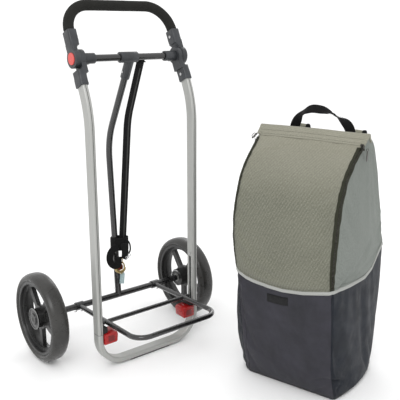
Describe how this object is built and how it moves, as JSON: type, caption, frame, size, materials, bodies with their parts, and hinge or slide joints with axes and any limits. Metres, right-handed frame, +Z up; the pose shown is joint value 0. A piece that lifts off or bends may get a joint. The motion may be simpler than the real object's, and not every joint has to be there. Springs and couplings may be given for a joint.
{
  "type": "folding shopping trolley with bag",
  "caption": "Two-wheeled folding shopping trolley frame with a swivelling foam-grip handle and fold-up shelf, and its lift-off zipped fabric bag standing beside it.",
  "frame": {"origin": "centre of the foot strip under the lower bow, on the floor", "axes": "+Z up, X across the trolley, -Y the loading side with the shelf, +Y the wheel side"},
  "size_m": [0.7352, 0.8083, 0.9737],
  "materials": {
    "leg_aluminium": "satin anodised",
    "black_plastic": "fine texture",
    "black_steel": "gloss black powder coat",
    "grip_foam": "matte foam",
    "red_button": "gloss",
    "red_clip": "gloss",
    "dark_rubber": "matte",
    "wheel_plastic": "fine texture",
    "tyre": "matte",
    "bright_steel": "bright",
    "nylon": "matte",
    "webbing": "woven webbing",
    "brass": "aged",
    "tag_plastic": "matte",
    "upper_fabric": "fine melange twill",
    "lower_fabric": "coated weave",
    "board": "matte",
    "zip_tape": "woven tape",
    "zip_metal": "dark gunmetal",
    "label_fabric": "woven"
  },
  "bodies": {
    "frame": {"leg_left": "leg_aluminium", "leg_right": "leg_aluminium", "lower_bow": "leg_aluminium", "foot_strip": "dark_rubber", "lower_socket_left": "black_plastic", "lower_socket_right": "black_plastic", "crossbar": "black_steel", "crossbar_collars": "black_plastic", "lower_socket_screws": "bright_steel", "collar_screws": "bright_steel", "leg_rivets": "bright_steel", "shelf_clips": "red_clip", "clip_pads": "dark_rubber"},
    "handle": {"handle_tube": "black_steel", "foam_grip": "grip_foam", "upper_socket_left": "black_plastic", "upper_socket_right": "black_plastic", "upper_socket_screws": "bright_steel"},
    "button_left": {"button_left": "red_button", "lock_disc_left": "bright_steel", "lock_spring_left": "bright_steel"},
    "button_right": {"button_right": "red_button", "lock_disc_right": "bright_steel", "lock_spring_right": "bright_steel"},
    "axle_link": {"strut_sleeve": "black_plastic", "strut_rivets": "bright_steel", "strut": "black_steel", "axle_tube": "black_steel", "axle_rod": "bright_steel", "luggage_strap": "webbing", "strap_keeper": "webbing"},
    "hook": {"hook_ring": "bright_steel", "snap_hook": "brass", "hook_tag": "tag_plastic"},
    "shelf": {"shelf_frame": "black_steel", "shelf_mid_bar": "black_steel"},
    "wheel_left": {"tyre_left": "tyre", "rim_left": "wheel_plastic", "wheel_bush_left": "nylon", "hub_cap_left": "wheel_plastic", "wheel_clip_left": "bright_steel"},
    "wheel_right": {"tyre_right": "tyre", "rim_right": "wheel_plastic", "wheel_bush_right": "nylon", "hub_cap_right": "wheel_plastic", "wheel_clip_right": "bright_steel"},
    "bag": {"bag_lower": "lower_fabric", "bag_upper": "upper_fabric", "bag_hem": "upper_fabric", "base_board": "board", "back_board": "board", "hanging_tabs": "upper_fabric", "label_patch": "label_fabric", "carry_handle": "webbing", "zip_left": "zip_tape", "zip_right": "zip_tape"},
    "slider_left": {"zip_slider_left": "zip_metal"},
    "slider_right": {"zip_slider_right": "zip_metal"},
    "pull_left": {"zip_pull_left": "zip_metal"},
    "pull_right": {"zip_pull_right": "zip_metal"}
  },
  "joints": [
    {"name": "handle_fold", "type": "hinge", "parent": "frame", "child": "handle", "pos_m": [0, 0.0553, 0.8286], "axis": [1, 0, 0], "range_deg": [0, 115]},
    {"name": "button_left_press", "type": "slide", "parent": "frame", "child": "button_left", "axis": [1, 0, 0], "range_m": [0, 0.004], "stiffness_N_per_m": 900, "springref_m": -0.002, "deforming": ["lock_spring_left"]},
    {"name": "button_right_press", "type": "slide", "parent": "frame", "child": "button_right", "axis": [-1, 0, 0], "range_m": [0, 0.004], "stiffness_N_per_m": 900, "springref_m": -0.002, "deforming": ["lock_spring_right"]},
    {"name": "axle_swing", "type": "hinge", "parent": "frame", "child": "axle_link", "pos_m": [0, 0.0553, 0.8286], "axis": [-1, 0, 0], "range_deg": [0, 6.2]},
    {"name": "shelf_fold", "type": "hinge", "parent": "axle_link", "child": "shelf", "pos_m": [0, 0.1555, 0.125], "axis": [-1, 0, 0], "range_deg": [0, 58.07]},
    {"name": "wheel_left_spin", "type": "hinge", "parent": "axle_link", "child": "wheel_left", "pos_m": [0, 0.1555, 0.125], "axis": [1, 0, 0], "continuous": true},
    {"name": "wheel_right_spin", "type": "hinge", "parent": "axle_link", "child": "wheel_right", "pos_m": [0, 0.1555, 0.125], "axis": [1, 0, 0], "continuous": true},
    {"name": "hook_swing", "type": "hinge", "parent": "axle_link", "child": "hook", "pos_m": [0.006, 0.147, 0.24], "axis": [-1, 0, 0], "range_deg": [0, 60]},
    {"name": "bag_lift", "type": "slide", "parent": "frame", "child": "bag", "axis": [0, 0, 1], "range_m": [0, 0.45]},
    {"name": "zip_left_slide", "type": "slide", "parent": "bag", "child": "slider_left", "axis": [-0.7311, -0.2373, -0.6397], "range_m": [0, 0.05]},
    {"name": "zip_left_pull", "type": "hinge", "parent": "slider_left", "child": "pull_left", "pos_m": [0.19586, -0.2204, 0.629], "axis": [0.9659, 0.2588, 0], "range_deg": [0, 110]},
    {"name": "zip_right_slide", "type": "slide", "parent": "bag", "child": "slider_right", "axis": [-0.7518, -0.1601, -0.6397], "range_m": [0, 0.05]},
    {"name": "zip_right_pull", "type": "hinge", "parent": "slider_right", "child": "pull_right", "pos_m": [0.27402, -0.51211, 0.629], "axis": [-0.9659, -0.2588, 0], "range_deg": [0, 110]}
  ],
  "couplings": [
    {"joint": "shelf_fold", "follows": "axle_swing", "ratio": 9.35}
  ]
}
